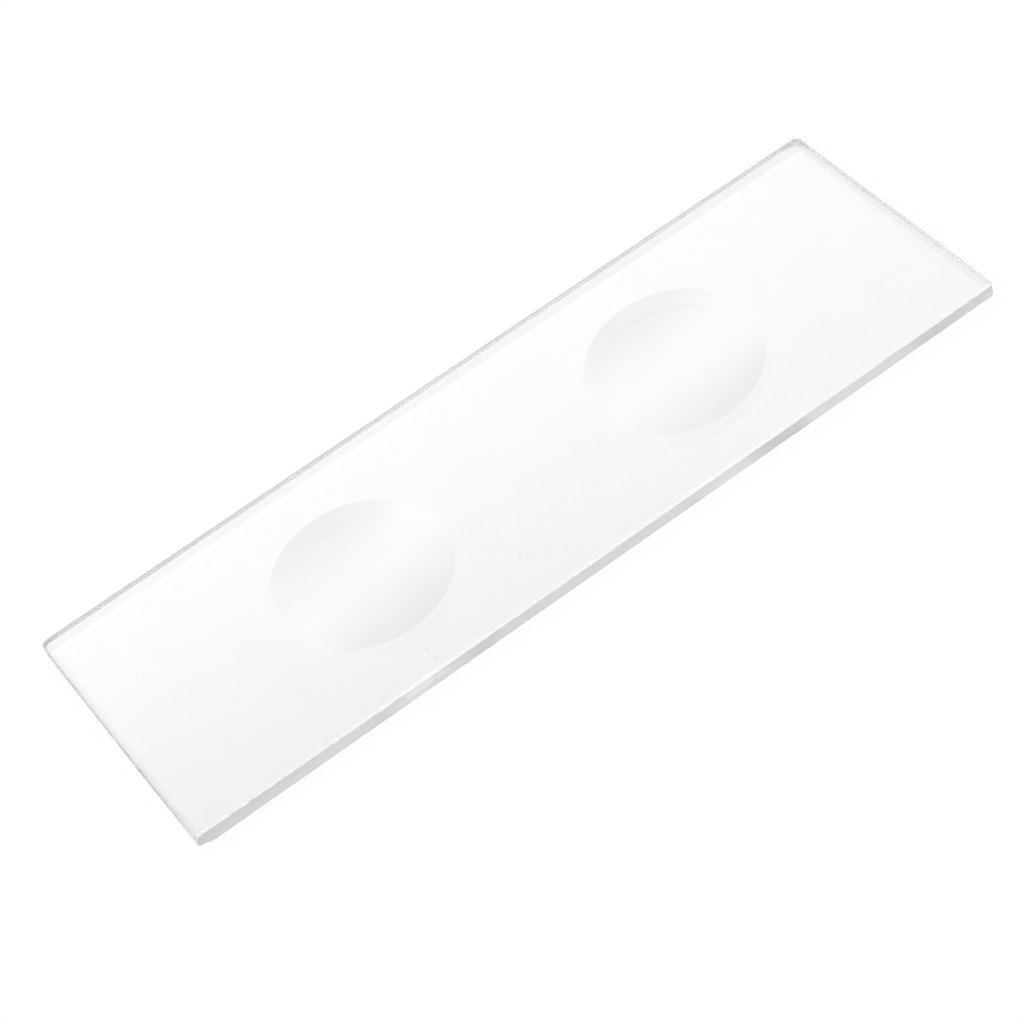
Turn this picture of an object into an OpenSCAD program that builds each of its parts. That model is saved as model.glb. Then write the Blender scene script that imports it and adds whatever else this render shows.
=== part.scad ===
// Concavity microscope slide: one clear glass plate with two shallow round wells in its top face.
// The base lies on Z = 0, the origin is under the middle of the plate, and X runs along its length.

/* [Plate] */
// Length of the plate, along X
slide_length = 75; // [66:0.5:90]
// Width of the plate, along Y
slide_width = 25; // [20:0.5:38]
// Thickness of the glass
slide_thickness = 1.35; // [1:0.05:3]

/* [Ground edges] */
// Radius of the four corners, seen from above
corner_radius = 0.4; // [0.35:0.05:1.5]
// Size of the 45 degree arris ground along every top and bottom edge
arris = 0.12; // [0.06:0.01:0.3]

/* [Wells] */
// Number of wells, spread evenly along the plate
well_count = 2; // [1:1:2]
// Diameter of a well at the top face
well_diameter = 14.8; // [12:0.1:17]
// Depth of a well at its middle
well_depth = 0.6; // [0.3:0.05:0.8]
// Distance between the centres of neighbouring wells
well_pitch = 30; // [20:0.5:40]
// Place of the row of wells across the plate, where less than 0 is nearer the front long edge
well_offset = -0.5; // [-0.8:0.1:0.8]

/* [Chipped corner] */
// Reach of the chip along the long edge from the lower front left corner
chip_length = 1.1; // [0.6:0.1:2]
// Reach of the chip along the short end from that corner
chip_width = 0.6; // [0.5:0.05:1]
// Reach of the chip up from the base at that corner
chip_height = 0.36; // [0.3:0.02:0.6]
// Radius of the shell-shaped fracture face
chip_radius = 1.6; // [1.4:0.1:3]

/* [Hidden] */
$fn = 240;

// Ball that cuts a dish of the well's diameter and depth
well_ball_radius = ((well_diameter / 2) ^ 2 + well_depth ^ 2) / (2 * well_depth);

// Ball that crosses each of the corner's three edges at the chip's reach along it.
// The power of the corner with respect to the ball solves a quadratic, and is negative
// because the corner lies inside the ball.
chip_reach = [chip_length, chip_width, chip_height];
quadratic_term = 1 / chip_length ^ 2 + 1 / chip_width ^ 2 + 1 / chip_height ^ 2;
constant_term = 4 * chip_radius ^ 2 - chip_reach * chip_reach;
corner_power = -(1 + sqrt(1 + quadratic_term * constant_term)) / quadratic_term;
chip_centre = [for (reach = chip_reach) (reach ^ 2 + corner_power) / (2 * reach)];

// Half of the plate's section, from its middle out to a ground edge with both of its arrises
module half_section(half_width) {
    polygon([
        [0, 0],
        [half_width - arris, 0],
        [half_width, arris],
        [half_width, slide_thickness - arris],
        [half_width - arris, slide_thickness],
        [0, slide_thickness],
    ]);
}

// Bar along X whose two long sides are ground edges, and whose ends are cut square
module ground_bar(length, width) {
    rotate([90, 0, 90])
        linear_extrude(height = length, center = true) {
            half_section(width / 2);
            mirror([1, 0])
                half_section(width / 2);
        }
}

// Plate with ground edges all round: two crossed bars, and a turned post in each corner
module ground_plate() {
    corner_x = slide_length / 2 - corner_radius;
    corner_y = slide_width / 2 - corner_radius;

    ground_bar(2 * corner_x, slide_width);
    rotate([0, 0, 90])
        ground_bar(2 * corner_y, slide_length);
    for (x = [-corner_x, corner_x], y = [-corner_y, corner_y])
        translate([x, y, 0])
            rotate_extrude()
                half_section(corner_radius);
}

// Row of balls that grind the wells into the top face
module well_balls() {
    for (i = [0 : well_count - 1])
        translate([
            (i - (well_count - 1) / 2) * well_pitch,
            well_offset,
            slide_thickness - well_depth + well_ball_radius,
        ])
            sphere(r = well_ball_radius);
}

// Shell-shaped flake lost from the lower front left corner
module corner_chip() {
    translate([-slide_length / 2, -slide_width / 2, 0])
        translate(chip_centre)
            sphere(r = chip_radius);
}

module glass_slide() {
    color([0.90, 0.95, 0.94, 0.45])
        difference() {
            ground_plate();
            well_balls();
            corner_chip();
        }
}

glass_slide();
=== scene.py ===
"""Looks for the microscope slide: clear glass, two polished wells, finely ground edges."""

import math
import random

import bmesh
import bpy
import numpy as np
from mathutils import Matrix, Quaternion, Vector, noise
from mathutils.geometry import delaunay_2d_cdt


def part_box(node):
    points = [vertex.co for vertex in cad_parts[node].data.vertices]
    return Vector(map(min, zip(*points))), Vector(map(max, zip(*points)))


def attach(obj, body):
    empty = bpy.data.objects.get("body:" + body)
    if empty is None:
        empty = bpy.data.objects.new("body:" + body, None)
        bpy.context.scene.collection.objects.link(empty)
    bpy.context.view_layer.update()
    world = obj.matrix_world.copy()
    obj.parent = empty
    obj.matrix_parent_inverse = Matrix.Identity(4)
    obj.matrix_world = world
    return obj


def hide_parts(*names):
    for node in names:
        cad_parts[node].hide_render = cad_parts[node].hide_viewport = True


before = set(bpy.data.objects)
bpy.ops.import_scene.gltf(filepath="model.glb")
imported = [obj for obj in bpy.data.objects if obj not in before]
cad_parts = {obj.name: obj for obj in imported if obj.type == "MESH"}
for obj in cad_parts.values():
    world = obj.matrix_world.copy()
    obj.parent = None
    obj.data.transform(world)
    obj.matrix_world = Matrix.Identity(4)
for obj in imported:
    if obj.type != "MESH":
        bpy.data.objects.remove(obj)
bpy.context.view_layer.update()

MM = 0.001

# Half the slide's length and width, and its thickness, in millimetres, from the frame
HALF_LENGTH, HALF_WIDTH, THICKNESS = (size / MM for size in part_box("glass_slide")[1])

# Wells and chip, as in the CAD source
WELL_RADIUS = 7.4
WELL_DEPTH = 0.6
CHIP_REACH = np.array((1.1, 0.6, 0.36))
CHIP_RADIUS = 1.6

# Wells as the photo shows them: place, radius, stretch of the rim out of round, and the angle of the stretch
WELLS = [(-15.03, -0.44, 7.38, 0.0, 0), (15.07, -0.5, 7.53, 0.22, 58)]

# Radii of the corners seen from above: back right, back left, front left, front right
CORNER_RADII = (0.7, 0.68, 0.3, 0.3)

# Small pits in the top face, placed from the photo: each one's place and radius
PITS = [(-32.7, 3.7, 0.09), (-32.5, -0.8, 0.08), (-30.4, -0.6, 0.09), (-28.7, 2.6, 0.07),
        (-28.1, 7.7, 0.07), (-25.7, -5.1, 0.09), (-15.3, -10.2, 0.12), (-15.3, -11.4, 0.10),
        (-8.0, -11.0, 0.08), (-7.8, -6.2, 0.08), (-7.2, -9.0, 0.07), (-5.1, -7.9, 0.11),
        (-1.7, -6.3, 0.07), (14.3, -10.7, 0.08), (24.1, 0.4, 0.09)]

# Fineness of the mesh, in millimetres and counts
EDGE_STEP = 0.1
CORNER_STEPS = 12
ROUND_STEPS = 4
WALL_STEPS = 5
WELL_SEGMENTS = 192
WELL_RINGS = 22
RIM_RINGS = 6
RIM_ROUND = 0.09
PIT_SEGMENTS = 10
FILL_STEP = 2.5
FILL_GAP = FILL_STEP / 3

# Settings of the triangulation: triangles inside the outline, and how close two points may be
TRIANGLES_INSIDE = 2
TRIANGLE_TOLERANCE = 1e-7

# Material slots of the mesh
POLISHED, GROUND, SEAMED, GRIT = 0, 1, 2, 3


# ---------------------------------------------------------------- sizes of the worn ground edges

# Power that keeps the change from one side to the next close to the middle of each corner, and the least
# radius that a corner keeps where the edge is rubbed off
SIDE_POWER = 4
LEAST_RADIUS = 0.02

# Factor that brings Blender's noise to a range of about -1 to 1
NOISE_RANGE = 1.6

# How far each wall stands in from the plate's outline. The right end stands in more toward the back, by a
# slant in millimetres for each millimetre along it. The left end gains a step between two places along it.
RIGHT_INSET, LEFT_INSET, LONG_SIDE_INSET = 0.08, 0.015, 0.01
RIGHT_SLANT = 0.0095
LEFT_STEP, LEFT_STEP_PLACES = 0.05, (-4, -9)
INSET_LIMIT = 0.25

# How uneven each wall is along its length, and the wavelengths and seeds of its two waves
RIGHT_UNEVEN, LEFT_UNEVEN, LONG_SIDE_UNEVEN = 0.015, 0.006, 0.01
WALL_WAVES, WALL_RIPPLES, RIPPLE_SHARE = (2.4, 1.3), (0.55, 4.1), 0.3

# Worn part at the far left of the front edge: where it grows, and what it adds there
WORN_PLACES = (-14, -36)
WORN_LEAN, WORN_DROP, WORN_NARROWING = 0.18, 0.05, 0.06

# Blunter long edges toward the right: where they grow
BLUNT_PLACES = (10, 37)

# Width of the rubbed edge round the top face on each side, and what changes it along the back and right end
FRONT_RUB, BACK_RUB, LEFT_RUB, RIGHT_RUB = 0.168, 0.38, 0.13, 0.165
BLUNT_RUB = 0.10
RIGHT_RUB_CHANGE, RIGHT_RUB_REACH = 0.02, 6

# Waves in that width: size and seed of each, and how strong they are all round and on the front
RUB_WAVES, RUB_WAVE_SHARE, FRONT_WAVE_SHARE = (0.9, 7.7), 0.06, 0.04
RUB_RIPPLES, FRONT_RIPPLE_SHARE = (0.3, 2.2), 0.16

# Drop of the rubbed edge as a share of its width
FRONT_DROP, OTHER_DROP = 1.05, 0.9

# Size of the soft edge round the base, and what it gains where the long edges are blunt and at one corner
FRONT_BASE, BACK_BASE, LEFT_BASE, RIGHT_BASE = 0.015, 0.02, 0.05, 0.06
FRONT_BLUNT_BASE, BACK_BLUNT_BASE = 0.04, 0.14
CORNER_BASE, CORNER_BASE_PLACE, CORNER_BASE_REACH = 0.3, (37.3, 12.3), 1.5
BASE_WAVES, BASE_WAVE_SHARE = (0.8, 9.4), 0.2

# Seeded draws of nicks: how many, their lengths, their depths and the seed
FRONT_NICKS = (420, (0.2, 0.7), (0.01, 0.06), 11)
WORN_NICKS = (420, (0.2, 0.6), (0.02, 0.08), 12)
BASE_NICKS = (300, (0.15, 0.5), (0.005, 0.03), 13)
LEFT_NICKS = (90, (0.2, 0.5), (0.01, 0.05), 14)


# ---------------------------------------------------------------- mesh

def outline():
    """Corner arc centres, outward directions and arc radii, for each point round the plate."""
    corners = [(side_x * (HALF_LENGTH - radius), side_y * (HALF_WIDTH - radius), radius)
               for (side_x, side_y), radius in zip([(1, 1), (-1, 1), (-1, -1), (1, -1)], CORNER_RADII)]
    arcs, outward = [], []
    for i, corner in enumerate(corners):
        for k in range(CORNER_STEPS + 1):
            angle = (i + k / CORNER_STEPS) * math.pi / 2
            arcs.append(corner)
            outward.append((math.cos(angle), math.sin(angle)))
        following = corners[(i + 1) % 4]
        steps = round(math.dist(corner[:2], following[:2]) / EDGE_STEP)
        for k in range(1, steps):
            arcs.append(np.array(corner) + (np.array(following) - corner) * k / steps)
            outward.append(outward[-1])
    arcs = np.array(arcs)
    return arcs[:, :2], np.array(outward), arcs[:, 2]


def grow(values, start, end):
    """Straight change from 0 to 1 as the values go from start to end."""
    return np.clip((values - start) / (end - start), 0, 1)


def waves(points, size, seed):
    """Smooth noise from about -1 to 1 at each point, with waves of about that size in millimetres."""
    return np.array([NOISE_RANGE * noise.noise(Vector((x / size, y / size, seed))) for x, y in points])


def nicks(points, count, length, depth, seed):
    """Depth at each point of small shell-shaped nicks, from a seeded random draw round the outline."""
    draw = random.Random(seed)
    total = np.zeros(len(points))
    for _ in range(count):
        at = points[draw.randrange(len(points))]
        half = draw.uniform(*length) / 2
        deep = draw.uniform(*depth)
        away = np.hypot(*(points - at).T) / half
        total = np.maximum(total, deep * np.clip(1 - away ** 2, 0, 1))
    return total


def side_shares(outward):
    """How much each point belongs to the right, left, back and front side. The four shares add up to 1."""
    facing = np.column_stack([outward[:, 0], -outward[:, 0], outward[:, 1], -outward[:, 1]])
    facing = np.clip(facing, 0, 1) ** SIDE_POWER
    return (facing / facing.sum(axis=1, keepdims=True)).T


def wall_inset(rim, right, left, long_sides):
    """How far the wall stands in from the plate's outline at each point."""
    skew = left * (LEFT_INSET + LEFT_STEP * grow(rim[:, 1], *LEFT_STEP_PLACES))
    skew = skew + right * (RIGHT_INSET + RIGHT_SLANT * rim[:, 1])
    skew = skew + LONG_SIDE_INSET * long_sides
    uneven = left * LEFT_UNEVEN + right * RIGHT_UNEVEN + long_sides * LONG_SIDE_UNEVEN
    inset = skew + uneven * waves(rim, *WALL_WAVES) + RIPPLE_SHARE * uneven * waves(rim, *WALL_RIPPLES)
    return np.clip(inset, 0, INSET_LIMIT) + left * nicks(rim, *LEFT_NICKS)


def rubbed_edge(rim, right, left, back, front, worn, blunt):
    """Width and drop of the rubbed edge round the top face at each point."""
    right_width = RIGHT_RUB + RIGHT_RUB_CHANGE * np.clip(rim[:, 1] / RIGHT_RUB_REACH, -1, 1)
    width = FRONT_RUB * front + (BACK_RUB + BLUNT_RUB * blunt) * back + LEFT_RUB * left + right_width * right
    wavy = (RUB_WAVE_SHARE + FRONT_WAVE_SHARE * front) * waves(rim, *RUB_WAVES)
    width = width * (1 + wavy + FRONT_RIPPLE_SHARE * front * waves(rim, *RUB_RIPPLES))
    width = width + front * nicks(rim, *FRONT_NICKS)
    width = width + worn * nicks(rim, *WORN_NICKS)
    drop = width * (FRONT_DROP * front + OTHER_DROP * (back + left + right)) + WORN_DROP * worn
    return width - WORN_NARROWING * worn, drop


def base_edge(rim, right, left, back, front, blunt):
    """Size of the soft edge round the base at each point."""
    size = (FRONT_BASE + FRONT_BLUNT_BASE * blunt) * front + (BACK_BASE + BACK_BLUNT_BASE * blunt) * back
    size = size + LEFT_BASE * left + RIGHT_BASE * right
    away = np.hypot(*(rim - CORNER_BASE_PLACE).T)
    size = size + CORNER_BASE * np.clip(1 - away / CORNER_BASE_REACH, 0, 1)
    return size * (1 + BASE_WAVE_SHARE * waves(rim, *BASE_WAVES)) + front * nicks(rim, *BASE_NICKS)


def wall_loops(core, outward, radius):
    """Closed loops of points up the ground edge, from the base's rim to the top face's rim."""
    rim = core + outward * radius[:, None]
    right, left, back, front = side_shares(outward)
    worn = grow(rim[:, 0], *WORN_PLACES) * front
    blunt = grow(rim[:, 0], *BLUNT_PLACES)
    inset = wall_inset(rim, right, left, back + front)
    lean = WORN_LEAN * worn
    top, drop = rubbed_edge(rim, right, left, back, front, worn, blunt)
    base = base_edge(rim, right, left, back, front, blunt)

    def loop(inward, height):
        reach = np.maximum(radius - inward, LEAST_RADIUS)
        return np.column_stack([core + outward * reach[:, None], height])

    def bend(share):
        """Place along a bevelled front edge or a rounded other edge: the parts of its width and its rise."""
        angle = share * math.pi / 2
        return [front * flat + (1 - front) * curved for flat, curved in
                ((1 - share, 1 - math.sin(angle)), (share, 1 - math.cos(angle)))]

    loops = []
    for k in range(ROUND_STEPS):
        width, rise = bend(k / ROUND_STEPS)
        loops.append(loop(inset + base * width, base * rise))
    for k in range(WALL_STEPS + 1):
        share = k / WALL_STEPS
        loops.append(loop(inset + lean * share ** 2, base + (THICKNESS - drop - base) * share))
    for k in range(1, ROUND_STEPS + 1):
        width, rise = bend(1 - k / ROUND_STEPS)
        loops.append(loop(inset + lean + top * width, THICKNESS - drop * rise))
    seamed = front > 0.5
    return loops, seamed


def well_rings(x, y, rim_radius, stretch, along):
    """Rings of points down one well, from just outside its rim inward, and the point in its middle."""
    ball = (WELL_RADIUS ** 2 + WELL_DEPTH ** 2) / (2 * WELL_DEPTH)
    rim_slope = math.tan(math.asin(WELL_RADIUS / ball))
    profile = []
    for k in range(RIM_RINGS + 1):
        share = k / RIM_RINGS
        radius = WELL_RADIUS + RIM_ROUND * (1 - 2 * share)
        profile.append((radius, THICKNESS - rim_slope * RIM_ROUND * share ** 2))
    dish_radius, dish_top = profile[-1]
    ball_height = dish_top + math.sqrt(ball ** 2 - dish_radius ** 2)
    for k in range(1, WELL_RINGS):
        radius = dish_radius * (1 - k / WELL_RINGS)
        profile.append((radius, ball_height - math.sqrt(ball ** 2 - radius ** 2)))
    angles = np.arange(WELL_SEGMENTS) / WELL_SEGMENTS * 2 * math.pi
    wide = (rim_radius + stretch * np.cos(2 * (angles - math.radians(along)))) / WELL_RADIUS
    rings = []
    for radius, z in profile:
        reach = radius * wide
        level = np.full(WELL_SEGMENTS, z)
        rings.append(np.column_stack([x + reach * np.cos(angles), y + reach * np.sin(angles), level]))
    return rings, (x, y, ball_height - ball)


def pit_ring(x, y, radius):
    """Points round the rim of one pit."""
    ring = []
    for k in range(PIT_SEGMENTS):
        angle = k / PIT_SEGMENTS * 2 * math.pi
        ring.append((x + radius * math.cos(angle), y + radius * math.sin(angle), THICKNESS))
    return ring


class MeshMaker:
    """Gathers the points and faces of one mesh, with each face's material slot and smooth or flat shading."""

    def __init__(self):
        self.points, self.faces, self.slots, self.smooth = [], [], [], []

    def add(self, points):
        """Takes in points, and gives their numbers in the mesh."""
        first = len(self.points)
        self.points.extend(tuple(map(float, point)) for point in points)
        return list(range(first, len(self.points)))

    def face(self, corners, slot, smooth=True):
        """One face through numbered points."""
        self.faces.append(tuple(corners))
        self.slots.append(slot)
        self.smooth.append(smooth)

    def band(self, lower, upper, slots):
        """A ring of four-sided faces between two closed loops with as many points, and the slot of each."""
        for i, slot in enumerate(slots):
            j = (i + 1) % len(lower)
            self.face((lower[i], lower[j], upper[j], upper[i]), slot)

    def cap(self, rim, middle, slot):
        """Triangles from a closed loop to one point in its middle."""
        tip, = self.add([middle])
        for i in range(len(rim)):
            self.face((rim[i], rim[(i + 1) % len(rim)], tip), slot)

    def sheet(self, rims, z, slot, upward):
        """A flat sheet at height z inside the first rim, with the other rims as its holes."""
        flat, edges, source = [], [], []
        for rim in rims:
            first = len(flat)
            flat += [Vector(self.points[i][:2]) for i in rim]
            source += rim
            edges += [(first + k, first + (k + 1) % len(rim)) for k in range(len(rim))]
        border = np.array([tuple(point) for point in flat])
        holes = [set(rim) for rim in rims[1:]]
        clear = [well[2] + FILL_GAP if holes else 0 for well in WELLS]
        fill = [(x, y, z) for x in np.arange(FILL_STEP - HALF_LENGTH, HALF_LENGTH, FILL_STEP)
                for y in np.arange(FILL_STEP - HALF_WIDTH, HALF_WIDTH, FILL_STEP)
                if np.hypot(*(border - (x, y)).T).min() > FILL_GAP
                and all(math.dist((x, y), well[:2]) > gap for well, gap in zip(WELLS, clear))]
        source += self.add(fill)
        flat += [Vector(point[:2]) for point in fill]
        triangles, origins = delaunay_2d_cdt(flat, edges, [], TRIANGLES_INSIDE, TRIANGLE_TOLERANCE)[2:4]
        for triangle in triangles:
            corners = [source[origins[corner][0]] for corner in triangle]
            if not any(hole.issuperset(corners) for hole in holes):
                self.face(corners if upward else corners[::-1], slot, smooth=False)

    def mesh(self, name):
        """The mesh, in metres."""
        made = bpy.data.meshes.new(name)
        made.from_pydata([Vector(point) * MM for point in self.points], [], self.faces)
        made.polygons.foreach_set("material_index", self.slots)
        made.polygons.foreach_set("use_smooth", self.smooth)
        made.update()
        return made


def slide_mesh():
    """The plate with its uneven ground edges, its two dished wells, its flat base and the pits in its top."""
    maker = MeshMaker()
    loops, seamed = wall_loops(*outline())
    loops = [maker.add(loop) for loop in loops]
    ground = [GROUND] * len(seamed)
    rubbed = np.where(seamed, SEAMED, GROUND).tolist()
    for k, (lower, upper) in enumerate(zip(loops, loops[1:])):
        maker.band(lower, upper, rubbed if k >= ROUND_STEPS + WALL_STEPS else ground)
    rims = [loops[-1]]
    for well in WELLS:
        rings, middle = well_rings(*well)
        rings = [maker.add(ring) for ring in rings]
        for outer, inner in zip(rings, rings[1:]):
            maker.band(outer, inner, [POLISHED] * WELL_SEGMENTS)
        maker.cap(rings[-1], middle, POLISHED)
        rims.append(rings[0])
    for x, y, radius in PITS:
        ring = maker.add(pit_ring(x, y, radius))
        maker.cap(ring, (x, y, THICKNESS - radius / 2), GRIT)
        rims.append(ring)
    maker.sheet(rims, THICKNESS, POLISHED, upward=True)
    maker.sheet([loops[0]], 0.0, POLISHED, upward=False)
    return chipped(maker.mesh("glass_slide_look"))


# Ripples in the chip's face: depth and closeness of the shell rings, and of the roughness between them
SHELL_RING, SHELL_RING_CLOSENESS = 0.012, 14
SHELL_ROUGH, SHELL_ROUGH_CLOSENESS = 0.01, 2.5
CHIP_SEGMENTS, CHIP_RINGS = 72, 36

# Edges bent by more than this angle in degrees stay sharp, and faces whose normals are this upright are level
SHARP_ANGLE = 24
LEVEL = 0.99999


def chip_ball():
    """Ball with faint shell ripples that crosses the lower front left corner's edges at the chip's reach."""
    quadratic = (1 / CHIP_REACH ** 2).sum()
    constant = 4 * CHIP_RADIUS ** 2 - (CHIP_REACH ** 2).sum()
    power = -(1 + math.sqrt(1 + quadratic * constant)) / quadratic
    centre = np.array((-HALF_LENGTH, -HALF_WIDTH, 0)) + (CHIP_REACH ** 2 + power) / (2 * CHIP_REACH)
    ball = bmesh.new()
    bmesh.ops.create_uvsphere(ball, u_segments=CHIP_SEGMENTS, v_segments=CHIP_RINGS, radius=CHIP_RADIUS)
    for vertex in ball.verts:
        ripple = SHELL_RING * math.sin(SHELL_RING_CLOSENESS * vertex.co.z)
        ripple = ripple + SHELL_ROUGH * noise.noise(vertex.co * SHELL_ROUGH_CLOSENESS)
        vertex.co = (vertex.co * (1 - abs(ripple)) + Vector(centre)) * MM
    mesh = bpy.data.meshes.new("chip_ball")
    ball.to_mesh(mesh)
    ball.free()
    return mesh


def chipped(whole):
    """The plate's mesh with the chip broken out of it, shaded flat where it is level and smooth elsewhere."""
    plate = bpy.data.objects.new("plate", whole)
    ball = bpy.data.objects.new("chip_ball", chip_ball())
    for item in (plate, ball):
        bpy.context.scene.collection.objects.link(item)
    cut = plate.modifiers.new("chip", "BOOLEAN")
    cut.operation = "DIFFERENCE"
    cut.solver = "EXACT"
    cut.object = ball
    broken = bpy.data.meshes.new_from_object(plate.evaluated_get(bpy.context.evaluated_depsgraph_get()))
    broken.name = whole.name
    for item in (plate, ball):
        mesh = item.data
        bpy.data.objects.remove(item)
        bpy.data.meshes.remove(mesh)
    broken.set_sharp_from_angle(angle=math.radians(SHARP_ANGLE))
    for polygon in broken.polygons:
        polygon.use_smooth = abs(polygon.normal.z) < LEVEL
    return broken


# ---------------------------------------------------------------- node helper

class Graph:
    """Adds shader nodes to a tree. An input is a plain value or another node's output."""

    def __init__(self, tree):
        self.tree = tree
        tree.nodes.clear()

    def add(self, kind, inputs=None, **settings):
        """One node with its inputs and settings. Gives its outputs."""
        made = self.tree.nodes.new("ShaderNode" + kind)
        for name, value in settings.items():
            setattr(made, name, value)
        for name, value in (inputs or {}).items():
            if isinstance(value, bpy.types.NodeSocket):
                self.tree.links.new(value, made.inputs[name])
            else:
                made.inputs[name].default_value = value
        return made.outputs

    def math(self, operation, *values, clamp=False):
        """One math node."""
        return self.add("Math", dict(enumerate(values)), operation=operation, use_clamp=clamp)[0]

    def times(self, first, second):
        """The product of two values."""
        return self.math("MULTIPLY", first, second)

    def plus(self, value, share, change):
        """The value with that share of the change added."""
        return self.math("MULTIPLY_ADD", share, change, value)

    def ramp(self, value, start, end, low=0.0, high=1.0):
        """Smooth change from low to high as value goes from start to end."""
        limits = {"From Min": start, "From Max": end, "To Min": low, "To Max": high}
        return self.add("MapRange", {"Value": value, **limits}, interpolation_type="SMOOTHSTEP")[0]

    def blend(self, share, first, second):
        """Mix of two numbers."""
        return self.add("Mix", {0: share, 2: first, 3: second}, data_type="FLOAT")[0]

    def grey(self, tone):
        """The grey of that tone."""
        return self.add("CombineColor", {0: tone, 1: tone, 2: tone})[0]

    def bump(self, height, strength, distance):
        """The surface's normal, tilted by a height that rises by up to distance millimetres."""
        return self.add("Bump", {"Height": height, "Strength": strength, "Distance": distance * MM})[0]

    def millimetres(self, scale=(1, 1, 1), shift=(0, 0, 0)):
        """The point on the object in millimetres, first shifted and then scaled along each axis."""
        point = self.add("TexCoord")["Object"]
        factors = tuple(factor / MM for factor in scale)
        offset = tuple(-a * b for a, b in zip(shift, scale))
        return self.add("VectorMath", {0: point, 1: factors, 2: offset}, operation="MULTIPLY_ADD")[0]

    def place(self):
        """The point on the object in millimetres, as its X, Y and Z."""
        return self.add("SeparateXYZ", {0: self.millimetres()})

    def noise(self, size, detail=2.0, scale=(1, 1, 1), shift=(0, 0, 0)):
        """Noise from 0 to 1 whose waves are about size millimetres long."""
        vector = self.millimetres(scale, shift)
        inputs = {"Vector": vector, "Scale": 1 / size, "Detail": detail, "Roughness": 0.5}
        return self.add("TexNoise", inputs)[0]

    def spot(self, centre, radii, softness=0.5):
        """1 inside an ellipsoid and 0 outside it, with a soft border."""
        point = self.millimetres([1 / radius for radius in radii], centre)
        length = self.add("VectorMath", {0: point}, operation="LENGTH")["Value"]
        return self.ramp(length, 1 + softness, 1 - softness)


def new_material(name):
    """A new material, and the helper that fills its node tree."""
    material = bpy.data.materials.new(name)
    material.use_nodes = True
    return material, Graph(material.node_tree)


# ---------------------------------------------------------------- materials

GLASS_IOR = 1.52
GLASS_TINT = (0.90, 0.90, 0.90, 1)
TINT_DENSITY = 3.0


def finish_glass(graph, tone, roughness, normal, transmission):
    """Links a glass surface, and the faint tint of the glass inside, to the material's output."""
    surface = graph.add("BsdfPrincipled", {
        "Base Color": graph.grey(tone), "Roughness": roughness, "Normal": normal,
        "IOR": GLASS_IOR, "Transmission Weight": transmission})[0]
    inside = graph.add("VolumeAbsorption", {"Color": GLASS_TINT, "Density": TINT_DENSITY})[0]
    graph.add("OutputMaterial", {"Surface": surface, "Volume": inside})


# Clear glass: its tone where it is clean and where it was wiped, and the size of the wipe marks
CLEAN_TONE, WIPED_TONE = 0.98, 0.968
WIPE_SIZE = 1.6

# Painted shade on the clear glass near its ground ends: how much darker the right one gets from front to
# back, and the left one
RIGHT_END_SHADE, RIGHT_END_SHADE_PLACES = (0.009, 0.064), (-12, 10)
RIGHT_END_SHADE_DEPTH, RIGHT_END_SHADE_FULL = 2.4, 0.3
LEFT_END_SHADE, LEFT_END_SHADE_DEPTH, LEFT_END_SHADE_FULL = 0.08, 0.75, 0.15

# Faint swell of the polished faces, in millimetres
SWELL_SIZE, SWELL_HEIGHT = 6.0, 0.0006


def polished_glass():
    """Clear polished glass with faint wipe marks, a faint swell and painted shade near its ends."""
    material, graph = new_material("polished_glass")
    wipe = graph.noise(WIPE_SIZE, detail=3, scale=(0.35, 1, 1), shift=(3, 5, 0))
    clear = graph.ramp(wipe, 0.4, 0.7, CLEAN_TONE, WIPED_TONE)
    place = graph.place()
    # Painted shade near the right end, patchy and stronger toward the back, and a plain painted shade near
    # the left end
    right_end_shade = graph.ramp(place["X"], HALF_LENGTH - RIGHT_END_SHADE_DEPTH, HALF_LENGTH - RIGHT_END_SHADE_FULL)
    right_end_shade = graph.math("POWER", right_end_shade, 3.0)
    cloudy = graph.ramp(graph.noise(1.5, detail=3, shift=(7, 2, 0)), 0.3, 0.7, 0.5, 1.5)
    painted_end_shade = graph.times(graph.times(right_end_shade, cloudy), graph.ramp(place["Y"], *RIGHT_END_SHADE_PLACES, *RIGHT_END_SHADE))
    left_end = graph.ramp(place["X"], LEFT_END_SHADE_DEPTH - HALF_LENGTH, LEFT_END_SHADE_FULL - HALF_LENGTH,
                          0.0, LEFT_END_SHADE)
    painted_end_shade = graph.math("ADD", painted_end_shade, left_end)
    clear = graph.times(clear, graph.math("SUBTRACT", 1.0, painted_end_shade))
    wavy = graph.bump(graph.noise(SWELL_SIZE, detail=1), 1.0, SWELL_HEIGHT)
    finish_glass(graph, clear, 0.0, wavy, 1.0)
    return material


# Ground glass: its tone from darker to lighter clouds, the change from grain to grain, and their sizes
GROUND_TONES, CLOUD_SIZE = (0.585, 0.60), 5.0
GRAIN_CHANGE, GRAIN_SIZE = 0.005, 0.09
GRIND_ROUGHNESS = (0.35, 0.5)
GRIND_BUMP, GRIND_HEIGHT = 0.03, 0.01

# Lighter and darker places along the front edge: place along X, half length in millimetres, change of tone
FRONT_PATCHES = [(-36.0, 3.0, 0.03), (-34.0, 14.0, 0.115), (-30.0, 4.0, -0.02), (-12.0, 2.6, 0.165),
                 (-9.0, 5.0, 0.035), (3.0, 7.0, 0.014), (11.5, 3.0, 0.035), (18.0, 2.4, 0.10),
                 (23.0, 3.0, -0.02), (30.0, 3.0, 0.03)]
PATCH_HEIGHT = 0.66

# Two bright ovals on the front edge: place along X and Z, half width, half height, change of tone
FRONT_OVALS = [(-17.45, 0.78, 1.35, 0.34, 0.15), (-15.45, 0.75, 0.62, 0.31, 0.12)]

# Back corners with painted shade: place, reach, change of tone, and how much duller the glass is there
BACK_CORNERS = [(37.2, 12.2, 1.4, -0.04), (-37.3, 12.3, 1.0, -0.05)]
CORNER_DULLNESS = 0.3
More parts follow.
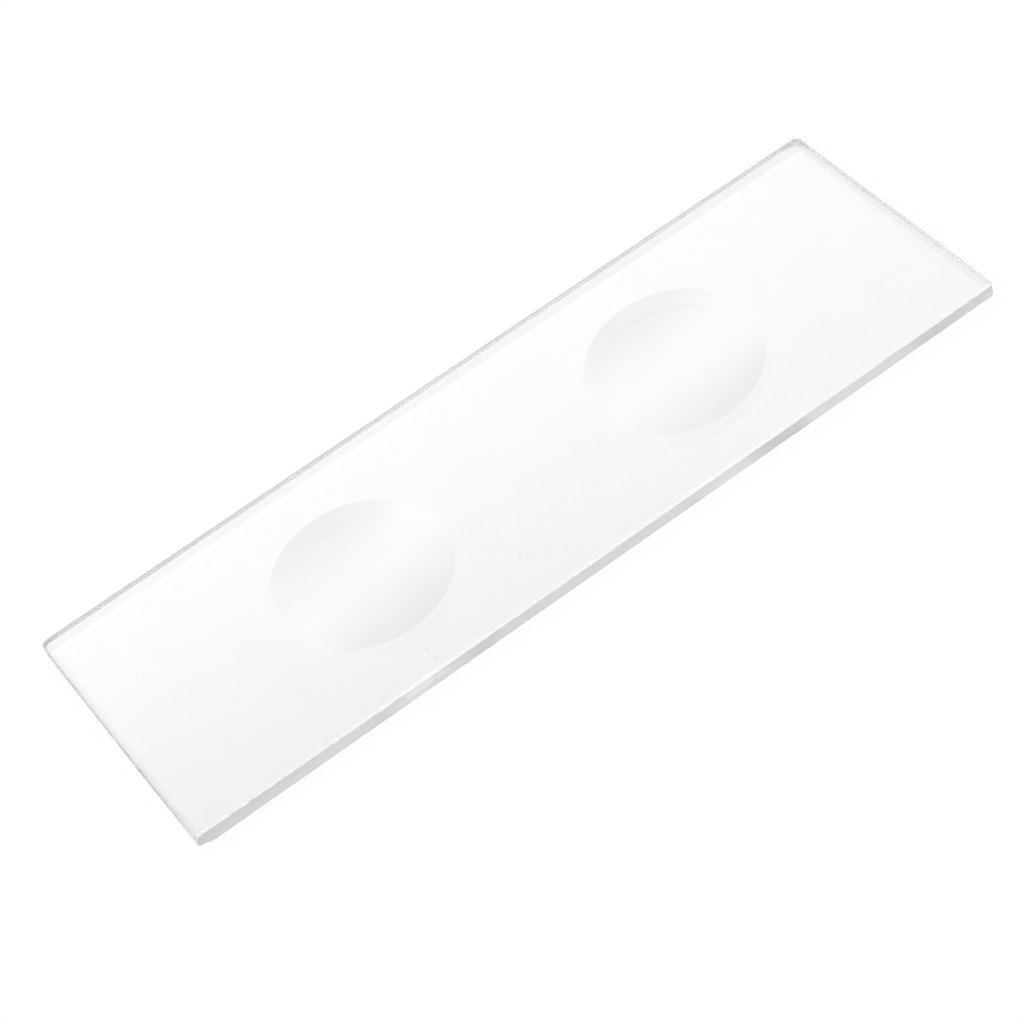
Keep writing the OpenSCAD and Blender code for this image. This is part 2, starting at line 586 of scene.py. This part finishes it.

# Painted light on the ends, as tone that they gain: the right one, more on its lower front part, and the left
# one from back to front
RIGHT_PAINTED_LIGHT, RIGHT_LOW_PAINTED_LIGHT = 0.21, 0.18
LEFT_PAINTED_LIGHT, LEFT_PAINTED_LIGHT_PLACES = (0.16, 0.27), (8, 1)

# Painted light and shade on the back, as tone that it gains from left to right: on its wall, on the rounding
# over it, and at its far left
BACK_LOW_LIFT, BACK_LOW_PLACES = (-0.09, 0.06), (-20, HALF_LENGTH)
BACK_HIGH_LIFT, BACK_HIGH_PLACES = (0.12, 0.30), (18, 34)
BACK_LEFT_LIFT, BACK_LEFT_PLACES = (0.04, 0.0), (-30, -10)

# Painted shade on the back wall: its dullness from left to right, and that of one place in it: centre, radii
# and dullness
BACK_DULLNESS, BACK_DULL_PLACES = (0.36, 0.0), (-32, 36)
DULL_SPOT_CENTRE, DULL_SPOT_RADII, DULL_SPOT_DULLNESS = (11.0, 12.5, 0.4), (8.0, 1.0, 0.8), 0.15

# Dark specks along the foot of the front edge
SPECK_SIZE, SPECK_CHANGE = 0.16, -0.25


def front_marks(graph, place, tone):
    """Adds the patches, the ovals and the dark specks of the front edge to the tone."""
    for x, half, change in FRONT_PATCHES:
        tone = graph.plus(tone, graph.spot((x, -HALF_WIDTH, PATCH_HEIGHT), (half, 1.0, 1.0)), change)
    for x, z, half, rise, change in FRONT_OVALS:
        tone = graph.plus(tone, graph.spot((x, -HALF_WIDTH, z), (half, 1.0, rise), softness=0.2), change)
    foot = graph.ramp(place["Y"], 0.2 - HALF_WIDTH, 0.05 - HALF_WIDTH)
    foot = graph.times(foot, graph.ramp(place["Z"], 0.3, 0.1))
    speck = graph.times(graph.ramp(graph.noise(SPECK_SIZE, detail=1), 0.52, 0.64), foot)
    return graph.plus(tone, speck, SPECK_CHANGE)


def painted_end_light(graph, place):
    """How much lighter the ground glass is at the two ends, away from the front edge: painted light."""
    right_end = graph.ramp(place["X"], HALF_LENGTH - 0.8, HALF_LENGTH - 0.4)
    low_front = graph.times(graph.ramp(place["Y"], 6, 0), graph.ramp(place["Z"], 1.12, 1.0))
    right_painted_light = graph.times(right_end, graph.math("MULTIPLY_ADD", low_front, RIGHT_LOW_PAINTED_LIGHT, RIGHT_PAINTED_LIGHT))
    left_end = graph.ramp(place["X"], 0.4 - HALF_LENGTH, 0.1 - HALF_LENGTH)
    return graph.plus(right_painted_light, left_end, graph.ramp(place["Y"], *LEFT_PAINTED_LIGHT_PLACES, *LEFT_PAINTED_LIGHT))


def back_wall(graph, place):
    """Where the back wall is, and its painted light and shade: how much lighter it is there, and how dull."""
    behind = graph.ramp(place["Y"], HALF_WIDTH - 0.8, HALF_WIDTH - 0.4)
    upper = graph.ramp(place["Z"], 0.9, 1.05)
    low_lift = graph.ramp(place["X"], *BACK_LOW_PLACES, *BACK_LOW_LIFT)
    high_lift = graph.math("ADD", graph.ramp(place["X"], *BACK_HIGH_PLACES, *BACK_HIGH_LIFT),
                           graph.ramp(place["X"], *BACK_LEFT_PLACES, *BACK_LEFT_LIFT))
    dull = graph.times(behind, graph.math("SUBTRACT", 1.0, upper))
    dull = graph.times(dull, graph.ramp(place["X"], *BACK_DULL_PLACES, *BACK_DULLNESS))
    dull = graph.plus(dull, graph.spot(DULL_SPOT_CENTRE, DULL_SPOT_RADII), DULL_SPOT_DULLNESS)
    return behind, graph.blend(upper, low_lift, high_lift), dull


def ground_glass():
    """Finely ground glass, frosted, a little grey and mottled. Its dull parts let less light through. Its
    ends, its back and its back corners carry painted light and shade.
    """
    material, graph = new_material("ground_glass")
    cloudy = graph.noise(CLOUD_SIZE, shift=(11, 0, 0))
    grain = graph.noise(GRAIN_SIZE)
    streak = graph.noise(0.1, scale=(0.12, 0.12, 1))
    place = graph.place()
    tone = graph.blend(graph.ramp(cloudy, 0.35, 0.65), *GROUND_TONES)
    tone = graph.math("ADD", tone, graph.ramp(grain, 0.3, 0.7, -GRAIN_CHANGE, GRAIN_CHANGE))
    off_front = graph.ramp(place["Y"], 0.05 - HALF_WIDTH, 0.2 - HALF_WIDTH)
    # Painted light: the ends are lighter, away from the front edge
    tone = graph.plus(tone, painted_end_light(graph, place), off_front)
    behind, lift, dull = back_wall(graph, place)
    # Painted light and shade along the back
    tone = graph.plus(tone, behind, lift)
    # Painted shade at the two back corners
    for x, y, reach, change in BACK_CORNERS:
        corner = graph.spot((x, y, 0.7), (reach, reach, 2.0))
        tone = graph.plus(tone, corner, change)
        dull = graph.plus(dull, corner, CORNER_DULLNESS)
    tone = front_marks(graph, place, tone)
    rough = graph.bump(graph.math("ADD", grain, streak), GRIND_BUMP, GRIND_HEIGHT)
    frost = graph.ramp(grain, 0.2, 0.8, *GRIND_ROUGHNESS)
    finish_glass(graph, tone, frost, rough, graph.math("SUBTRACT", 1.0, dull))
    return material


# Rubbed edge of the front: tone of its duller spots, which get darker toward the worn left end
SPOT_TONE, WORN_SPOT_TONE, WORN_SPOT_PLACES = 0.98, 0.915, (-14, -34)
SPOT_SIZE, RUB_GRAIN_SIZE = 0.25, 0.2
RUB_ROUGHNESS = (0.4, 0.6)
RUB_BUMP, RUB_HEIGHT = 0.3, 0.006
RUB_TRANSMISSION = 0.1


def seamed_glass():
    """Whitish glass rubbed off at 45 degrees along the top of the front edge with a fine stone."""
    material, graph = new_material("seamed_glass")
    grain = graph.noise(RUB_GRAIN_SIZE)
    rough = graph.bump(grain, RUB_BUMP, RUB_HEIGHT)
    worn = graph.ramp(graph.place()["X"], *WORN_SPOT_PLACES)
    spots = graph.ramp(graph.noise(SPOT_SIZE, detail=1, shift=(5, 0, 0)), 0.4, 0.6)
    tone = graph.blend(spots, graph.blend(worn, SPOT_TONE, WORN_SPOT_TONE), 1.0)
    tone = graph.times(graph.ramp(grain, 0.3, 0.7, 0.99, 1.0), tone)
    finish_glass(graph, tone, graph.ramp(grain, 0.2, 0.8, *RUB_ROUGHNESS), rough, RUB_TRANSMISSION)
    return material


GRIT_TONES, GRIT_SIZE, GRIT_ROUGHNESS = (0.6, 0.8), 0.05, 0.9


def pit_grit():
    """Grey grit caught in the pits of the top face."""
    material, graph = new_material("pit_grit")
    tone = graph.ramp(graph.noise(GRIT_SIZE, detail=1), 0.3, 0.7, *GRIT_TONES)
    surface = graph.add("BsdfPrincipled", {"Base Color": graph.grey(tone), "Roughness": GRIT_ROUGHNESS})[0]
    graph.add("OutputMaterial", {"Surface": surface})
    return material


# ---------------------------------------------------------------- floor and light

FLOOR_GAP = 0.03
FLOOR_SIDE = 4.0
FLOOR_TONE = (0.93, 0.93, 0.93, 1)

# Share of the floor's white glow against its paint: as the camera sees it, and as the glass shows it
SEEN_GLOW, MIRRORED_GLOW = 0.93, 0.95

# Strength of the glow as seen through the glass: left and right of the front, left and right of the back, and
# how far past the slide these places lie
FRONT_GLOW, BACK_GLOW = (0.716, 0.826), (0.888, 0.862)
GLOW_REACH_X, GLOW_REACH_Y = 10, 4

# What that glow gains under each well, and at the left and the right of the back edge
WELL_GLOW, WELL_GLOW_RADIUS, WELL_GLOW_DEPTH = 0.017, 7.5, 50
EDGE_GLOW, EDGE_GLOW_PLACES = (0.055, 0.025), (10.8, 11.6)


def floor_glow(graph):
    """Glow of the floor as seen through the glass, set so that the glass looks as light as in the photo."""
    along, across = graph.place()[:2]
    along = graph.ramp(along, -HALF_LENGTH - GLOW_REACH_X, HALF_LENGTH + GLOW_REACH_X)
    slope = graph.ramp(across, -HALF_WIDTH - GLOW_REACH_Y, HALF_WIDTH + GLOW_REACH_Y)
    glow = graph.blend(slope, graph.blend(along, *FRONT_GLOW), graph.blend(along, *BACK_GLOW))
    for x, y in [well[:2] for well in WELLS]:
        radii = (WELL_GLOW_RADIUS, WELL_GLOW_RADIUS, WELL_GLOW_DEPTH)
        glow = graph.plus(glow, graph.spot((x, y, 0), radii, softness=0.3), WELL_GLOW)
    edge = graph.ramp(across, *EDGE_GLOW_PLACES, 0.0, graph.blend(along, *EDGE_GLOW))
    return graph.math("ADD", glow, edge)


def pale_floor():
    """A white table top just under the slide."""
    half = FLOOR_SIDE / 2
    mesh = bpy.data.meshes.new("floor")
    corners = [(-half, -half), (half, -half), (half, half), (-half, half)]
    mesh.from_pydata([(x, y, -FLOOR_GAP * MM) for x, y in corners], [], [(0, 1, 2, 3)])
    floor = bpy.data.objects.new("floor", mesh)
    bpy.context.scene.collection.objects.link(floor)
    material, graph = new_material("white_table")
    material.cycles.emission_sampling = "NONE"
    rays = graph.add("LightPath")
    mirrored = graph.math("ADD", rays["Is Glossy Ray"], rays["Is Transmission Ray"], clamp=True)
    glow = graph.blend(rays["Is Transmission Ray"], 1.0, floor_glow(graph))
    paint = graph.add("BsdfDiffuse", {"Color": FLOOR_TONE})[0]
    white = graph.add("Emission", {"Color": (1, 1, 1, 1), "Strength": glow})[0]
    share = graph.blend(rays["Is Camera Ray"], graph.times(mirrored, MIRRORED_GLOW), SEEN_GLOW)
    graph.add("OutputMaterial", {"Surface": graph.add("MixShader", {0: share, 1: paint, 2: white})[0]})
    mesh.materials.append(material)


# The room is white at strength 1. Bearings and heights are in degrees, and bearing 0 is straight behind the
# slide. The soft wall fades out between two bearings on either side, and gets brighter between two heights.
WALL_BEARINGS = (105, 75)
WALL_HEIGHTS = (14, 26)
WALL_LIGHT, WALL_LIGHT_BEARINGS = (1.78, 1.98), (10, 35)

# Brighter strip across the wall: the direction square to a line along it, how far above that line its middle
# is, its half width, and its strength from the middle to the right, with what the left adds
STRIP_AXIS = (-0.2665, 0.744, -0.613)
STRIP_HEIGHT, STRIP_HALF_WIDTH = 2.5, 11
STRIP_LIGHT, STRIP_BEARINGS = (0.7, 0.07), (0, 40)
STRIP_LEFT_LIGHT, STRIP_LEFT_BEARINGS = (0.0, 0.6), (8, -4)

# Darkness over the strip: heights above its line between which it falls, and what is left of the light
DARK_HEIGHTS, DARK_SHARE = (18, 6), 0.12


def studio_world():
    """Plain white room with a wide soft wall behind the slide, brighter along a strip, and dark above it."""
    world = bpy.data.worlds.new("studio")
    bpy.context.scene.world = world
    world.use_nodes = True
    graph = Graph(world.node_tree)
    direction = graph.add("TexCoord")["Generated"]
    x, y, z = graph.add("SeparateXYZ", {0: direction})
    height = graph.math("DEGREES", graph.math("ARCSINE", z))
    bearing = graph.math("DEGREES", graph.math("ARCTAN2", x, y))
    behind = graph.ramp(graph.math("ABSOLUTE", bearing), *WALL_BEARINGS)
    under = graph.add("VectorMath", {0: direction, 1: STRIP_AXIS}, operation="DOT_PRODUCT")["Value"]
    above = graph.times(graph.math("DEGREES", graph.math("ARCSINE", under)), -1.0)
    off_middle = graph.math("ABSOLUTE", graph.math("SUBTRACT", above, STRIP_HEIGHT))
    strength = graph.math("ADD", graph.ramp(bearing, *STRIP_BEARINGS, *STRIP_LIGHT),
                          graph.ramp(bearing, *STRIP_LEFT_BEARINGS, *STRIP_LEFT_LIGHT))
    strip = graph.times(graph.ramp(off_middle, STRIP_HALF_WIDTH, 0), strength)
    bright = graph.ramp(bearing, *WALL_LIGHT_BEARINGS, *WALL_LIGHT)
    wall = graph.math("ADD", graph.ramp(height, *WALL_HEIGHTS, 1.0, bright), strip)
    wall = graph.times(wall, graph.ramp(above, *DARK_HEIGHTS, DARK_SHARE, 1.0))
    light = graph.blend(behind, 1.0, wall)
    seen = graph.blend(graph.add("LightPath")["Is Camera Ray"], light, 1.0)
    back = graph.add("Background", {"Color": (1, 1, 1, 1), "Strength": seen})[0]
    graph.add("OutputWorld", {"Surface": back})


# ---------------------------------------------------------------- camera

AIM = Vector((-3.13, -3.94, THICKNESS)) * MM
CAMERA_DISTANCE = 231.0 * MM
CAMERA_AZIMUTH = -19.2
CAMERA_ELEVATION = 47.75
CAMERA_ROLL = -20.07
CAMERA_LENS = 106.2
CAMERA_SENSOR = 36
CAMERA_CLIP = (0.01, 20)


def photo_camera():
    """A camera from the front left, well above the slide and rolled so that the slide lies aslant."""
    azimuth, elevation = math.radians(CAMERA_AZIMUTH), math.radians(CAMERA_ELEVATION)
    level = math.cos(elevation)
    back = Vector((math.sin(azimuth) * level, -math.cos(azimuth) * level, math.sin(elevation)))
    data = bpy.data.cameras.new("camera")
    data.lens = CAMERA_LENS
    data.sensor_width = CAMERA_SENSOR
    data.clip_start, data.clip_end = CAMERA_CLIP
    camera = bpy.data.objects.new("camera", data)
    bpy.context.scene.collection.objects.link(camera)
    camera.location = AIM + back * CAMERA_DISTANCE
    camera.rotation_mode = "QUATERNION"
    roll = Quaternion((0, 0, 1), math.radians(CAMERA_ROLL))
    camera.rotation_quaternion = (-back).to_track_quat("-Z", "Y") @ roll
    bpy.context.scene.camera = camera


# ---------------------------------------------------------------- the slide in its studio

# Enough bounces for light that is passed on inside the glass
LIGHT_BOUNCES = 32

slide = bpy.data.objects.new("slide_glass", slide_mesh())
bpy.context.scene.collection.objects.link(slide)
slide.data.materials.append(polished_glass())
slide.data.materials.append(ground_glass())
slide.data.materials.append(seamed_glass())
slide.data.materials.append(pit_grit())
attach(slide, "root")
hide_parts("glass_slide")

pale_floor()
studio_world()
photo_camera()
bpy.context.scene.view_settings.view_transform = "Standard"
render = bpy.context.scene.cycles
render.blur_glossy = 0
render.max_bounces = render.glossy_bounces = render.transmission_bounces = LIGHT_BOUNCES
